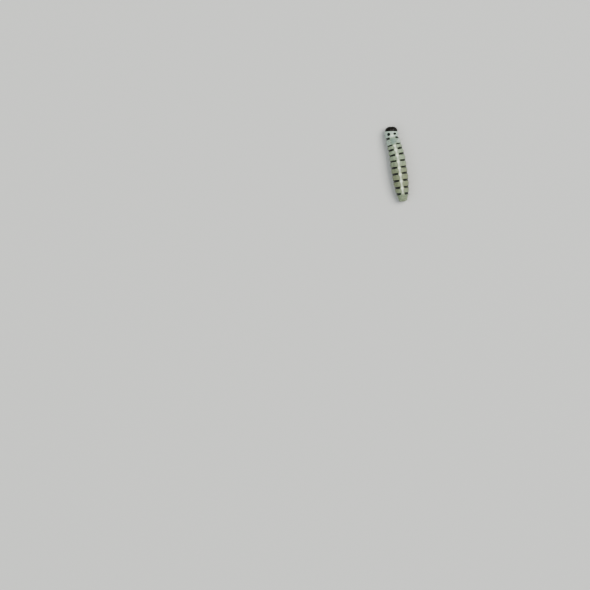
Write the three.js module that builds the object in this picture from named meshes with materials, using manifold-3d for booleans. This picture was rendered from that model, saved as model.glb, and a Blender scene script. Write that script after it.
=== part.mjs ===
// A monarch butterfly larva in its first stage of growth, at life size: 3.9 mm from head to tail.
// It stands on its soles, head down. Millimetres, +Z up, head towards -Y, the ground at Z = 0.
import * as THREE from "three";
import { mergeVertices } from "three/addons/utils/BufferGeometryUtils.js";
import Module from "manifold-3d";

const wasm = await Module();
wasm.setup();

// Driving dimensions
const seam = 0.02; // gap between neighbouring solids
const smallestEdge = 0.003; // edges that a cut leaves shorter than this are closed up
const headShown = 0.28; // length of the head in front of the collar, seen from above
const headHalf = new THREE.Vector3(0.325, 0.25, 0.3); // half width, half depth, half height
const headHeight = 0.365; // of the head's middle above the ground
const headTilt = 14; // degrees that the face leans down
const headTurn = 7; // degrees that the face turns to the larva's right
const bellyShare = 0.85; // depth below the body's axis, as a share of the height above it
const foldDepth = 0.038; // of the folds between segments
const neckFoldDepth = 0.065; // of the fold behind the collar
const creaseDepth = 0.01; // of the two rings pressed into each segment
const plateDepth = 0.03; // that the hard plates are set into the surface
const plateRise = 0.006; // that they stand out of it
const collarPlateRadius = 0.076;
const soleRadius = 0.062;
const bristleRadius = 0.011; // of a stiff hair at its root
const bristleRoot = 0.03; // length of it that is sunk in

// Faces round each form
const bodySides = 24;
const headSides = 28;
const plateSides = 18;
const stubSides = 12;
const fineSides = 8;

const SIDES = [
  { side: "left", sign: 1 },
  { side: "right", sign: -1 },
];

// The body's segments from the collar back: length, and half width, half height and height of the
// body's axis above the ground at the segment's middle.
const SEGMENTS = [
  { name: "prothorax", length: 0.35, width: 0.348, height: 0.31, axis: 0.378 },
  { name: "mesothorax", length: 0.37, width: 0.362, height: 0.33, axis: 0.412 },
  { name: "metathorax", length: 0.24, width: 0.378, height: 0.347, axis: 0.432 },
  { name: "abdomen_1", length: 0.28, width: 0.394, height: 0.36, axis: 0.446 },
  { name: "abdomen_2", length: 0.32, width: 0.404, height: 0.37, axis: 0.453 },
  { name: "abdomen_3", length: 0.34, width: 0.41, height: 0.377, axis: 0.455 },
  { name: "abdomen_4", length: 0.32, width: 0.412, height: 0.38, axis: 0.454 },
  { name: "abdomen_5", length: 0.35, width: 0.408, height: 0.376, axis: 0.45 },
  { name: "abdomen_6", length: 0.35, width: 0.39, height: 0.362, axis: 0.438 },
  { name: "abdomen_7", length: 0.31, width: 0.352, height: 0.328, axis: 0.416 },
  { name: "abdomen_8", length: 0.17, width: 0.308, height: 0.284, axis: 0.382 },
  { name: "abdomen_9", length: 0.1, width: 0.268, height: 0.238, axis: 0.346 },
  { name: "abdomen_10", length: 0.16, width: 0.222, height: 0.182, axis: 0.292 },
];

// Stiff hairs on each side of a segment: share of the way along it, degrees that the hair stands from
// straight up, and length that it stands out
const BRISTLES = [
  { share: 0.68, lean: 18, length: 0.13 },
  { share: 0.5, lean: 66, length: 0.15 },
  { share: 0.42, lean: 98, length: 0.15 },
];
// and on each side of the head, with yaw and pitch in degrees
const HEAD_BRISTLES = [
  { yaw: 18, pitch: 50, length: 0.1 },
  { yaw: 62, pitch: 30, length: 0.1 },
  { yaw: 30, pitch: 12, length: 0.1 },
];

let reached = headShown;
for (const segment of SEGMENTS) {
  segment.start = reached;
  segment.end = reached + segment.length;
  segment.middle = reached + segment.length / 2;
  reached = segment.end;
}
const segmentNamed = (name) => SEGMENTS.find((segment) => segment.name === name);

// The body's gentle bend from above: sideways shift at distances from the front of the head
const SWAY = [
  { station: 0, shift: 0 },
  { station: 0.45, shift: 0.062 },
  { station: 0.8, shift: 0.036 },
  { station: 1.12, shift: 0 },
  { station: 1.5, shift: -0.036 },
  { station: 2.3, shift: -0.034 },
  { station: 3.2, shift: -0.026 },
  { station: 3.93, shift: 0 },
];

const material = (name, color, roughness) =>
  new THREE.MeshStandardMaterial({ name, color, roughness, metalness: 0 });
const flesh = material("flesh", 0x9aa58c, 0.45);
const paleFlesh = material("pale_flesh", 0xa9b8a8, 0.45);
const shell = material("head_shell", 0x0c0d0b, 0.2);
const legShell = material("leg_shell", 0x141611, 0.25);
const plate = material("plate", 0x25302b, 0.35);
const tailSkin = material("tail_plate", 0x6f7562, 0.4);
const mouth = material("mouthparts", 0x4a3a26, 0.35);
const lens = material("eye_lens", 0x1a1a18, 0.1);

// A smooth curve through values at stations along the body, as a function of the station
function smoothCurve(points, stationKey, valueKey) {
  const stations = points.map((point) => point[stationKey]);
  const values = points.map((point) => point[valueKey]);
  const curve = new THREE.CubicInterpolant(stations, values, 1);
  return (station) => curve.evaluate(station)[0];
}
const swayAt = smoothCurve(SWAY, "station", "shift");
const widthAt = smoothCurve(SEGMENTS, "middle", "width");
const heightAt = smoothCurve(SEGMENTS, "middle", "height");
const axisAt = smoothCurve(SEGMENTS, "middle", "axis");

// The body's axis at a station, with the directions along it, to the larva's left and up
function spineAt(station) {
  const at = (s) => new THREE.Vector3(swayAt(s), s, axisAt(s));
  const step = 0.05;
  const along = at(station + step).sub(at(station - step)).normalize();
  const left = new THREE.Vector3().crossVectors(along, new THREE.Vector3(0, 0, 1)).normalize();
  const up = new THREE.Vector3().crossVectors(left, along);
  return { middle: at(station), along, left, up };
}

// A closed three.js geometry as a manifold solid
function solid(geometry) {
  const bare = new THREE.BufferGeometry().setAttribute("position", geometry.getAttribute("position"));
  if (geometry.index) bare.setIndex(geometry.index);
  const merged = mergeVertices(bare, 1e-5);
  return new wasm.Manifold(
    new wasm.Mesh({
      numProp: 3,
      vertProperties: new Float32Array(merged.attributes.position.array),
      triVerts: new Uint32Array(merged.index.array),
    }),
  );
}

const larva = new THREE.Group();
larva.name = "monarch_larva";

// Adds the largest body of a solid as a node, without the slivers and short edges that cuts leave.
function addNode(name, made, finish) {
  const bodies = made.decompose().sort((a, b) => b.volume() - a.volume());
  const cut = bodies[0].simplify(smallestEdge).getMesh();
  const geometry = new THREE.BufferGeometry();
  geometry.setAttribute("position", new THREE.BufferAttribute(cut.vertProperties, 3));
  geometry.setIndex(new THREE.BufferAttribute(cut.triVerts, 1));
  const mesh = new THREE.Mesh(geometry, finish);
  mesh.name = name;
  larva.add(mesh);
}

// Moves every vertex of a geometry to where a function of its place puts it.
function reshaped(geometry, placeOf) {
  const position = geometry.getAttribute("position");
  for (let i = 0; i < position.count; i++) {
    const moved = placeOf(new THREE.Vector3().fromBufferAttribute(position, i));
    position.setXYZ(i, moved.x, moved.y, moved.z);
  }
  return geometry;
}

// Rings of a segment from front (0) to back (1), each with how far it lies inside the full girth
function ringsOf(segment) {
  const followsNeck = segment.name === "mesothorax";
  const isCollar = segment.name === "prothorax";
  const isTail = segment.name === "abdomen_10";
  const frontFold = isCollar ? 0.004 : followsNeck ? neckFoldDepth : foldDepth;
  const backFold = isCollar ? neckFoldDepth : foldDepth;
  const front = [
    [0, frontFold],
    [0.08, frontFold * 0.35],
    [0.2, 0],
    [0.36, creaseDepth],
  ];
  if (isTail) return [...front, [0.55, 0.012], [0.75, 0.05], [0.91, 0.1]];
  return [...front, [0.5, 0], [0.64, creaseDepth], [0.8, 0], [0.92, backFold * 0.35], [1, backFold]];
}

// One body segment as a lathed barrel bent along the body's axis, and grown by a margin
function segmentSolid(segment, margin = 0) {
  const start = segment.start + seam / 2 - margin;
  const end = segment.end - seam / 2 + margin;
  const profile = [new THREE.Vector2(0, start)];
  for (const [share, inset] of ringsOf(segment)) {
    const station = THREE.MathUtils.lerp(start, end, share);
    profile.push(new THREE.Vector2(widthAt(station) + margin - inset, station));
  }
  profile.push(new THREE.Vector2(0, end));
  const barrel = new THREE.LatheGeometry(profile, bodySides);
  return solid(
    reshaped(barrel, (v) => {
      const spine = spineAt(v.y);
      const tallness = (heightAt(v.y) + margin) / (widthAt(v.y) + margin);
      const rise = v.z * tallness * (v.z < 0 ? bellyShare : 1);
      return spine.middle.addScaledVector(spine.left, v.x).addScaledVector(spine.up, rise);
    }),
  );
}

// The head: an egg with a cleft down its crown, a flatter face and a narrower jaw
const headPlace = new THREE.Matrix4()
  .makeTranslation(swayAt(headHalf.y), headHalf.y, headHeight)
  .multiply(new THREE.Matrix4().makeRotationZ(-THREE.MathUtils.degToRad(headTurn)))
  .multiply(new THREE.Matrix4().makeRotationX(THREE.MathUtils.degToRad(headTilt)));

function headPoint(direction, margin) {
  const cleftWidth = 0.14;
  const cleftDepth = 0.055;
  const faceFlat = 0.06;
  const jawTaper = 0.2;
  const crown = THREE.MathUtils.smoothstep(direction.z, -0.05, 0.6);
  const cleft = cleftDepth * crown * Math.exp(-((direction.x / cleftWidth) ** 2));
  const flat = faceFlat * THREE.MathUtils.smoothstep(-direction.y, 0.6, 1);
  const jaw = 1 - jawTaper * THREE.MathUtils.smoothstep(-direction.z, 0.25, 1);
  const point = direction.clone().multiply(headHalf).multiplyScalar(1 - cleft - flat);
  point.x *= jaw;
  return point.addScaledVector(direction, margin);
}

function headSolid(margin = 0) {
  const ball = new THREE.SphereGeometry(1, headSides, Math.round(headSides * 0.6));
  reshaped(ball, (v) => headPoint(v.normalize(), margin));
  return solid(ball.applyMatrix4(headPlace));
}

// A place on the head from its yaw (to the larva's left) and pitch (up) in degrees, with the way out
function onHead(yaw, pitch) {
  const [y, p] = [THREE.MathUtils.degToRad(yaw), THREE.MathUtils.degToRad(pitch)];
  const way = new THREE.Vector3(Math.sin(y) * Math.cos(p), -Math.cos(y) * Math.cos(p), Math.sin(p));
  const place = headPoint(way, 0).applyMatrix4(headPlace);
  const out = way.clone().divide(headHalf).normalize().transformDirection(headPlace);
  return { place, out };
}

const turnTo = (from, to) => new THREE.Quaternion().setFromUnitVectors(from, to);
const zAxis = new THREE.Vector3(0, 0, 1);
const yAxis = new THREE.Vector3(0, 1, 0);

// An egg-shaped solid with its own Z axis laid along a direction
function egg(place, direction, halfX, halfY, halfZ, sides = stubSides) {
  const ball = new THREE.SphereGeometry(1, sides, Math.round(sides * 0.6));
  ball.scale(halfX, halfY, halfZ).applyQuaternion(turnTo(zAxis, direction));
  return solid(ball.translate(...place));
}

// A lathed solid whose profile of [radius, height] points stands on a place, along a direction
function turned(profile, place, direction, sides) {
  const points = profile.map(([radius, height]) => new THREE.Vector2(radius, height));
  const lathe = new THREE.LatheGeometry(points, sides).applyQuaternion(turnTo(yAxis, direction));
  return solid(lathe.translate(...place));
}

// A round-ended rod between two points, thicker at one end than at the other
function rod(from, to, startRadius, endRadius) {
  const axis = new THREE.Vector3().subVectors(to, from);
  const length = axis.length();
  const shoulder = 0.7;
  const profile = [
    [0, -startRadius],
    [startRadius * shoulder, -startRadius * shoulder],
    [startRadius, 0],
    [endRadius, length],
    [endRadius * shoulder, length + endRadius * shoulder],
    [0, length + endRadius],
  ];
  return turned(profile, from, axis.normalize(), fineSides);
}

// A hard plate set into a surface, and the pit that it lies in. The surface and the column that
// bounds the plate are functions of how much they are grown.
function inlay(surface, column, rise = plateRise) {
  const piece = surface(rise).intersect(column(0)).subtract(surface(-plateDepth));
  const pit = column(seam).subtract(surface(-plateDepth - seam));
  return { piece, pit };
}

// An oval column that stands up from a place
function ovalColumn(x, y, z, halfWidth, halfLength) {
  const height = 0.6;
  return (grown) => {
    const column = new THREE.CylinderGeometry(1, 1, height, plateSides).rotateX(Math.PI / 2);
    column.scale(halfWidth + grown, halfLength + grown, 1).translate(x, y, z - grown + height / 2);
    return solid(column);
  };
}

// A place on a segment, and the way out from the body's axis there, leaning to the larva's left
function onSegment(segment, share, lean) {
  const station = THREE.MathUtils.lerp(segment.start, segment.end, share);
  const spine = spineAt(station);
  const turn = THREE.MathUtils.degToRad(lean);
  const out = spine.up.clone().multiplyScalar(Math.cos(turn)).addScaledVector(spine.left, Math.sin(turn));
  const reach = Math.hypot(Math.cos(turn) * heightAt(station), Math.sin(turn) * widthAt(station));
  return { place: spine.middle.clone().addScaledVector(out, reach), out };
}

// A three-sided stiff hair that tapers to its tip, rooted at a place
function bristle({ place, out }, length) {
  const spike = new THREE.ConeGeometry(bristleRadius, length + bristleRoot, 3);
  spike.translate(0, (length - bristleRoot) / 2, 0);
  return solid(spike.applyQuaternion(turnTo(yAxis, out)).translate(...place));
}

const ground = solid(new THREE.BoxGeometry(4, 10, 2).translate(0, 2, -1));
const grownHead = headSolid(seam);
const grownBody = Object.fromEntries(SEGMENTS.map((s) => [s.name, segmentSolid(s, seam)]));
const pits = Object.fromEntries([...SEGMENTS.map((s) => [s.name, []]), ["head", []]]);

// Face: a triangular plate, with the eye groups at its sides
const facePlate = inlay(headSolid, (grown) => {
  const [apex, base, halfBase] = [0.04 + grown * 3, -0.17 - grown, 0.1 + grown * 1.5];
  const outline = new THREE.Shape();
  outline.moveTo(0, apex);
  outline.lineTo(-halfBase, base);
  outline.lineTo(halfBase, base);
  outline.closePath();
  const prism = new THREE.ExtrudeGeometry(outline, { depth: 0.5, bevelEnabled: false });
  return solid(prism.rotateX(Math.PI / 2).applyMatrix4(headPlace));
});
addNode("face_plate", facePlate.piece, shell);
pits.head.push(facePlate.pit);

for (const { side, sign } of SIDES) {
  const { place, out } = onHead(62 * sign, -28);
  const patchRadius = 0.078;
  const ringRadius = 0.05;
  const lensRadius = 0.021;
  const group = inlay(headSolid, (grown) => {
    const radius = patchRadius + grown;
    return egg(place, out, radius, radius, 0.12, plateSides);
  });
  const back = new THREE.Vector3().crossVectors(out, zAxis).normalize().multiplyScalar(sign);
  const up = new THREE.Vector3().crossVectors(back, out).multiplyScalar(sign);
  // Five lenses in an arc open towards the back, and one inside it
  const lenses = [-110, -55, 0, 55, 110].map((degrees) => [degrees, ringRadius]);
  lenses.push([180, ringRadius * 0.3]);
  for (const [degrees, distance] of lenses) {
    const angle = THREE.MathUtils.degToRad(degrees);
    const centre = place
      .clone()
      .addScaledVector(back, -Math.cos(angle) * distance)
      .addScaledVector(up, Math.sin(angle) * distance);
    group.piece = group.piece.add(egg(centre, out, lensRadius, lensRadius, lensRadius, fineSides));
  }
  addNode(`eyes_${side}`, group.piece, lens);
  pits.head.push(group.pit);
}

// Mouthparts in a hollow at the head's lower end: lip, jaws, palps and spinneret
const mouthAt = onHead(0, -72);
const mouthHollow = (grown) =>
  egg(mouthAt.place, mouthAt.out, 0.16 + grown, 0.1 + grown, 0.06 + grown, plateSides);
const mouthPoint = (x, forward, down) =>
  mouthAt.place.clone().add(new THREE.Vector3(x, -forward, -down));
pits.head.push(mouthHollow(0));

const lipAt = mouthPoint(0, 0.075, -0.005);
const lipWay = new THREE.Vector3(0, -0.5, -1).normalize();
const lipShape = (grown) => egg(lipAt, lipWay, 0.09 + grown, 0.03 + grown, 0.05 + grown);
const headWithHollows = pits.head.reduce((head, pit) => head.subtract(pit), headSolid());
const clearOfHead = (made) => made.subtract(grownHead.subtract(mouthHollow(-seam)));
addNode("labrum", clearOfHead(lipShape(0)), mouth);

for (const { side, sign } of SIDES) {
  const jawAt = mouthPoint(0.062 * sign, 0.015, 0.005);
  const jawWay = new THREE.Vector3(-0.35 * sign, -0.3, -1).normalize();
  const jaw = egg(jawAt, jawWay, 0.05, 0.045, 0.055);
  const midline = new THREE.BoxGeometry(0.2, 1, 1);
  midline.translate(mouthAt.place.x + sign * (seam / 2 - 0.1), 0.3, 0);
  const clearOfOther = jaw.subtract(solid(midline)).subtract(lipShape(seam));
  addNode(`mandible_${side}`, clearOfHead(clearOfOther), shell);

  const palpAt = mouthPoint(0.092 * sign, -0.066, 0.005);
  const palpJoint = palpAt.clone().add(new THREE.Vector3(0.006 * sign, -0.012, -0.028));
  const palpTip = palpJoint.clone().add(new THREE.Vector3(0, -0.014, -0.012));
  const palp = rod(palpAt, palpJoint, 0.024, 0.017).add(rod(palpJoint, palpTip, 0.011, 0.007));
  addNode(`palp_${side}`, clearOfHead(palp).subtract(ground), mouth);

  const feelerAt = onHead(44 * sign, -50);
  const feelerWay = new THREE.Vector3(0.3 * sign, -0.8, -0.5).normalize();
  const feelerJoint = feelerAt.place.clone().addScaledVector(feelerWay, 0.05);
  const feelerTip = feelerJoint.clone().addScaledVector(feelerWay, 0.04);
  const feeler = rod(feelerAt.place, feelerJoint, 0.028, 0.021);
  const feelerEnd = rod(feelerJoint, feelerTip, 0.013, 0.009);
  addNode(`antenna_${side}`, feeler.add(feelerEnd).subtract(grownHead), mouth);
}

const chinAt = mouthPoint(0, -0.065, -0.005);
const spinneretTip = chinAt.clone().add(new THREE.Vector3(0, -0.025, -0.05));
const chin = egg(chinAt, zAxis, 0.048, 0.04, 0.03).add(rod(chinAt, spinneretTip, 0.018, 0.008));
addNode("labium", clearOfHead(chin).subtract(ground), mouth);
let bristledHead = headWithHollows;
for (const { yaw, pitch, length } of HEAD_BRISTLES) {
  for (const { sign } of SIDES) {
    bristledHead = bristledHead.add(bristle(onHead(yaw * sign, pitch), length));
  }
}
addNode("head", bristledHead, shell);

// Two dark plates on the collar, and one over the tail
const collar = segmentNamed("prothorax");
for (const { side, sign } of SIDES) {
  const x = swayAt(collar.middle) + sign * 0.15;
  const column = ovalColumn(x, collar.start + 0.135, collar.axis, collarPlateRadius, collarPlateRadius);
  const { piece, pit } = inlay((margin) => segmentSolid(collar, margin), column);
  addNode(`collar_plate_${side}`, piece.subtract(grownHead), plate);
  pits.prothorax.push(pit);
}
pits.prothorax.push(grownHead);

const tail = segmentNamed("abdomen_10");
const tailColumn = ovalColumn(swayAt(tail.middle), tail.middle + 0.02, tail.axis - 0.02, 0.13, 0.055);
const tailInlay = inlay((margin) => segmentSolid(tail, margin), tailColumn);
addNode("tail_plate", tailInlay.piece, tailSkin);
pits.abdomen_10.push(tailInlay.pit);

for (const segment of SEGMENTS) {
  let made = pits[segment.name].reduce((left, pit) => left.subtract(pit), segmentSolid(segment));
  // The short segments at the tail have room for one pair.
  const bristles = BRISTLES.filter(({ share }) => segment.length > 0.2 || share === 0.5);
  for (const { share, lean, length } of bristles) {
    for (const { sign } of SIDES) {
      made = made.add(bristle(onSegment(segment, share, lean * sign), length));
    }
  }
  addNode(segment.name, made, segment === collar ? paleFlesh : flesh);
}

// Stubs of the feelers that grow from the second segment and from the eleventh
function tentacleStub(segment, share, lean, radius, halfLength) {
  const { place, out } = onSegment(segment, share, lean);
  return egg(place, out, radius, radius, halfLength).subtract(grownBody[segment.name]);
}
for (const { side, sign } of SIDES) {
  const front = tentacleStub(segmentNamed("mesothorax"), 0.45, 34 * sign, 0.045, 0.07);
  addNode(`front_tentacle_${side}`, front, paleFlesh);
  const rear = tentacleStub(segmentNamed("abdomen_8"), 0.5, 32 * sign, 0.032, 0.05);
  addNode(`rear_tentacle_${side}`, rear, flesh);
}

// Three pairs of jointed legs under the thorax, each a hip, a shin and a claw
const legJoints = {
  hip: { out: 0.15, forward: -0.02, height: 0.21, radius: 0.075 },
  knee: { out: 0.232, forward: 0, height: 0.13, radius: 0.05 },
  ankle: { out: 0.228, forward: 0.035, height: 0.055, radius: 0.03 },
  claw: { out: 0.2, forward: 0.06, height: 0.006, radius: 0.014 },
};
for (const [index, name] of ["prothorax", "mesothorax", "metathorax"].entries()) {
  const segment = segmentNamed(name);
  const nearby = SEGMENTS.slice(Math.max(index - 1, 0), index + 2);
  for (const { side, sign } of SIDES) {
    const at = ({ out, forward, height }) =>
      new THREE.Vector3(swayAt(segment.middle) + sign * out, segment.middle - forward, height);
    const { hip, knee, ankle, claw } = legJoints;
    const leg = rod(at(hip), at(knee), hip.radius, knee.radius)
      .add(rod(at(knee), at(ankle), knee.radius * 0.84, ankle.radius))
      .add(rod(at(ankle), at(claw), ankle.radius * 0.8, claw.radius));
    const clear = nearby.reduce((left, s) => left.subtract(grownBody[s.name]), leg);
    addNode(`leg_${index + 1}_${side}`, clear.subtract(grownHead).subtract(ground), legShell);
  }
}

// A fleshy foot: a stub with one soft ring that ends in a flat sole
function foot(top, sole, baseRadius) {
  const axis = new THREE.Vector3().subVectors(top, sole);
  const profile = [
    [0, -0.03],
    [soleRadius, -0.03],
    [soleRadius, 0.02],
    [soleRadius * 0.84, 0.045],
    [baseRadius * 0.92, 0.09],
    [baseRadius * 0.88, 0.11],
    [baseRadius, 0.14],
    [baseRadius, axis.length()],
    [0, axis.length()],
  ];
  return turned(profile, sole, axis.normalize(), stubSides).subtract(ground);
}

// Four pairs of feet under the middle of the abdomen
for (const number of [3, 4, 5, 6]) {
  const segment = segmentNamed(`abdomen_${number}`);
  const x = swayAt(segment.middle);
  for (const { side, sign } of SIDES) {
    const top = new THREE.Vector3(x + sign * 0.17, segment.middle, 0.27);
    const sole = new THREE.Vector3(x + sign * 0.212, segment.middle, 0);
    const made = foot(top, sole, 0.095).subtract(grownBody[segment.name]);
    addNode(`proleg_${number}_${side}`, made, flesh);
  }
}

// The pair that clasps at the tail reaches back a little
for (const { side, sign } of SIDES) {
  const x = swayAt(tail.middle);
  const top = new THREE.Vector3(x + sign * 0.1, tail.middle - 0.06, 0.24);
  const sole = new THREE.Vector3(x + sign * 0.13, tail.middle - 0.01, 0);
  const made = foot(top, sole, 0.092).subtract(grownBody.abdomen_10).subtract(grownBody.abdomen_9);
  addNode(`anal_proleg_${side}`, made.subtract(grownBody.abdomen_8), flesh);
}

// The origin is on the ground, below the middle of the larva's box.
const centre = new THREE.Box3().setFromObject(larva).getCenter(new THREE.Vector3());
larva.position.set(-centre.x, -centre.y, 0);

export default larva;
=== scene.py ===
"""The looks of a monarch butterfly larva in its first stage of growth, 3.9 mm long, on a pale floor.

Pieces are shaped in millimetres in the frame of the solids (head towards -Y, +Z up) and brought to
metres as they are finished. A place on the body is a station, which is the distance from the front
of the head along Y, and an angle round the body's axis from the middle of the back, positive to the
larva's left.
"""

import math

import bmesh
import bpy
import numpy as np
from mathutils import Matrix, Vector, noise


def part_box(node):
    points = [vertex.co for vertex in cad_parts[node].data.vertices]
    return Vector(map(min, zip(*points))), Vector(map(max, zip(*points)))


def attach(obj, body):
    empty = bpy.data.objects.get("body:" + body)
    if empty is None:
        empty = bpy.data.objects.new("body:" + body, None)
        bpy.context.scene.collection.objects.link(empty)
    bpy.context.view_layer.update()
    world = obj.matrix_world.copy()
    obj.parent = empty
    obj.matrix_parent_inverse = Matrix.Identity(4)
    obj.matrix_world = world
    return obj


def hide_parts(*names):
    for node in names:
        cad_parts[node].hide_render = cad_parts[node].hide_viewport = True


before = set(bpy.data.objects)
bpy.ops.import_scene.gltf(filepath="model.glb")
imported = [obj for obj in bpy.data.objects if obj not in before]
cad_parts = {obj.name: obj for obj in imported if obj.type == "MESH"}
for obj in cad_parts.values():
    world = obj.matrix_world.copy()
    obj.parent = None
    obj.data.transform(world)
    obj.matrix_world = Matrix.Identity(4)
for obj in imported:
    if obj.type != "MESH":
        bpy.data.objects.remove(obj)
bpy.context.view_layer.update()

MM = 0.001  # metres in a millimetre

# The photograph's frame, with the larva's place in it in pixels
PHOTO_PIXELS = 590
MM_PER_PIXEL = 0.0516
HEAD_PIXEL = (391.0, 126.5)
TAIL_PIXEL = (403.4, 201.9)
LENS_MM = 120
SENSOR_MM = 36

# Body sizes in millimetres
HEAD_SHOWN = 0.28
HEAD_HALF = np.array((0.325, 0.25, 0.3))
HEAD_HEIGHT = 0.365
HEAD_TILT = math.radians(14)
HEAD_YAW = math.radians(7)  # of the face to the larva's right
BELLY_SHARE = 0.85
SOLE_RADIUS = 0.062
FOLD_DEPTH = 0.036
FOLD_HALF = 0.034
NECK_FOLD_DEPTH = 0.065
NECK_FOLD_HALF = 0.048
CREASE_DEPTH = 0.008
CREASE_HALF = 0.014
CREASE_SHARES = (0.36, 0.64)  # where a segment's two pressed rings lie along it
FLANK_BULGE = 0.014
FLANK_ANGLE = math.radians(112)
TAIL_ROUND = 0.11  # length of the body's rounded end

# Each segment's length, and its half width, half height and axis height at its middle
SEGMENT_SIZES = {
    "prothorax": (0.35, 0.348, 0.31, 0.378),
    "mesothorax": (0.37, 0.362, 0.33, 0.412),
    "metathorax": (0.24, 0.378, 0.347, 0.432),
    "abdomen_1": (0.28, 0.394, 0.36, 0.446),
    "abdomen_2": (0.32, 0.404, 0.37, 0.453),
    "abdomen_3": (0.34, 0.41, 0.377, 0.455),
    "abdomen_4": (0.32, 0.412, 0.38, 0.454),
    "abdomen_5": (0.35, 0.408, 0.376, 0.45),
    "abdomen_6": (0.35, 0.39, 0.362, 0.438),
    "abdomen_7": (0.31, 0.352, 0.328, 0.416),
    "abdomen_8": (0.17, 0.308, 0.284, 0.382),
    "abdomen_9": (0.1, 0.268, 0.238, 0.346),
    "abdomen_10": (0.16, 0.222, 0.182, 0.292),
}
SEGMENT_NAMES = list(SEGMENT_SIZES)
lengths, widths, heights, axes = np.array(list(SEGMENT_SIZES.values())).T
ENDS = HEAD_SHOWN + np.cumsum(lengths)
STARTS = ENDS - lengths
MIDDLES = (STARTS + ENDS) / 2
TAIL_END = ENDS[-1]

# The bend from above: sideways shift at stations along the body
SWAY_STATIONS = (0, 0.45, 0.8, 1.12, 1.5, 2.3, 3.2, 3.93)
SWAY_SHIFTS = (0, 0.062, 0.036, 0, -0.036, -0.034, -0.026, 0)

SIDES = (("left", 1), ("right", -1))
THORAX = SEGMENT_NAMES[:3]
ROOT_DEPTH = 0.02  # how far under the skin the plates and stubs begin
ROD_SIDES = 20


def segment_place(name, share):
    """Station of a share of the way along a segment."""
    index = SEGMENT_NAMES.index(name)
    return STARTS[index] + share * (ENDS[index] - STARTS[index])


def smooth_curve(stations, values):
    """A cubic curve through values at stations, as a function of the station."""
    stations = np.asarray(stations, float)
    values = np.asarray(values, float)
    slopes = np.gradient(values, stations)

    def curve(station):
        station = np.clip(station, stations[0], stations[-1])
        i = np.clip(np.searchsorted(stations, station) - 1, 0, len(stations) - 2)
        span = stations[i + 1] - stations[i]
        t = (station - stations[i]) / span
        from_value = values[i] * (1 + 2 * t) * (1 - t) ** 2 + values[i + 1] * t * t * (3 - 2 * t)
        from_slope = slopes[i] * t * (1 - t) ** 2 - slopes[i + 1] * t * t * (1 - t)
        return from_value + span * from_slope

    return curve


sway_at = smooth_curve(SWAY_STATIONS, SWAY_SHIFTS)
width_at = smooth_curve(MIDDLES, widths)
height_at = smooth_curve(MIDDLES, heights)
axis_at = smooth_curve(MIDDLES, axes)


def girth_at(station):
    """Mean radius of the body."""
    return (width_at(station) + height_at(station)) / 2


def smoothstep(low, high, value):
    t = np.clip((value - low) / (high - low), 0, 1)
    return t * t * (3 - 2 * t)


def hump(distance, half_width, power=2.0):
    """1 at no distance, falling smoothly to nothing past the half width."""
    return np.exp(-np.abs(distance / half_width) ** power)


def angles_round(count):
    """Angles spaced evenly round a circle."""
    return np.linspace(0, 2 * math.pi, count, endpoint=False)


def normalised(vectors):
    return vectors / np.linalg.norm(vectors, axis=-1, keepdims=True)


def box_middle(node):
    low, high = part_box(node)
    return (np.array(low) + np.array(high)) / (2 * MM)


# The middle pair of feet stands straight below its segment's middle, and places the body in the frame.
anchor_station = MIDDLES[SEGMENT_NAMES.index("abdomen_4")]
anchor = (box_middle("proleg_4_left") + box_middle("proleg_4_right")) / 2
ORIGIN = np.array((anchor[0] - sway_at(anchor_station), anchor[1] - anchor_station, 0))


def spine(station):
    """Body axis at stations: its place, and the directions along it, to the left and up."""
    station = np.asarray(station, float)

    def place(s):
        return np.stack((sway_at(s), s, axis_at(s)), axis=-1) + ORIGIN

    step = 0.05
    along = normalised(place(station + step) - place(station - step))
    left = normalised(np.cross(along, (0.0, 0.0, 1.0)))
    up = np.cross(left, along)
    return place(station), along, left, up


def segment_share(station):
    """The segment that each station is in, and how far along it, from 0 to 1."""
    index = np.clip(np.searchsorted(ENDS, station), 0, len(ENDS) - 1)
    return index, (station - STARTS[index]) / (ENDS[index] - STARTS[index])


def girth_inset(station, angle):
    """How far the skin lies inside its full girth: folds, pressed rings and the bulge of the flank."""
    sideness = np.sin(angle) ** 2
    inset = np.zeros(np.broadcast(station, angle).shape)
    for name, fold in zip(SEGMENT_NAMES[:-1], ENDS[:-1]):
        if name == "prothorax":
            depth = NECK_FOLD_DEPTH * (0.35 + 0.65 * sideness)
            half = NECK_FOLD_HALF
        else:
            depth = FOLD_DEPTH * (0.8 + 0.2 * sideness)
            half = FOLD_HALF
        inset += depth * hump(station - fold, half, 1.5)
    index, share = segment_share(station)
    has_creases = (index > 0) & (index <= SEGMENT_NAMES.index("abdomen_8"))
    for crease in CREASE_SHARES:
        inset += CREASE_DEPTH * has_creases * hump((share - crease) * lengths[index], CREASE_HALF)
    swell = np.sin(np.pi * np.clip(share, 0, 1))
    return inset - FLANK_BULGE * hump(np.abs(angle) - FLANK_ANGLE, 0.3) * swell


def body_point(station, angle):
    """A place on the skin."""
    station, angle = np.broadcast_arrays(np.asarray(station, float), np.asarray(angle, float))
    place, _, left, up = spine(station)
    inset = girth_inset(station, angle)
    tail_run = np.clip((station - (TAIL_END - TAIL_ROUND)) / TAIL_ROUND, 0, 1)
    closing = np.sqrt(np.clip(1 - tail_run**2, 0, 1))
    half_width = (width_at(station) - inset) * closing
    half_height = (height_at(station) - inset) * closing
    rise = half_height * np.cos(angle)
    rise = np.where(rise < 0, rise * BELLY_SHARE, rise)
    return place + left * (half_width * np.sin(angle))[..., None] + up * rise[..., None]


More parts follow.
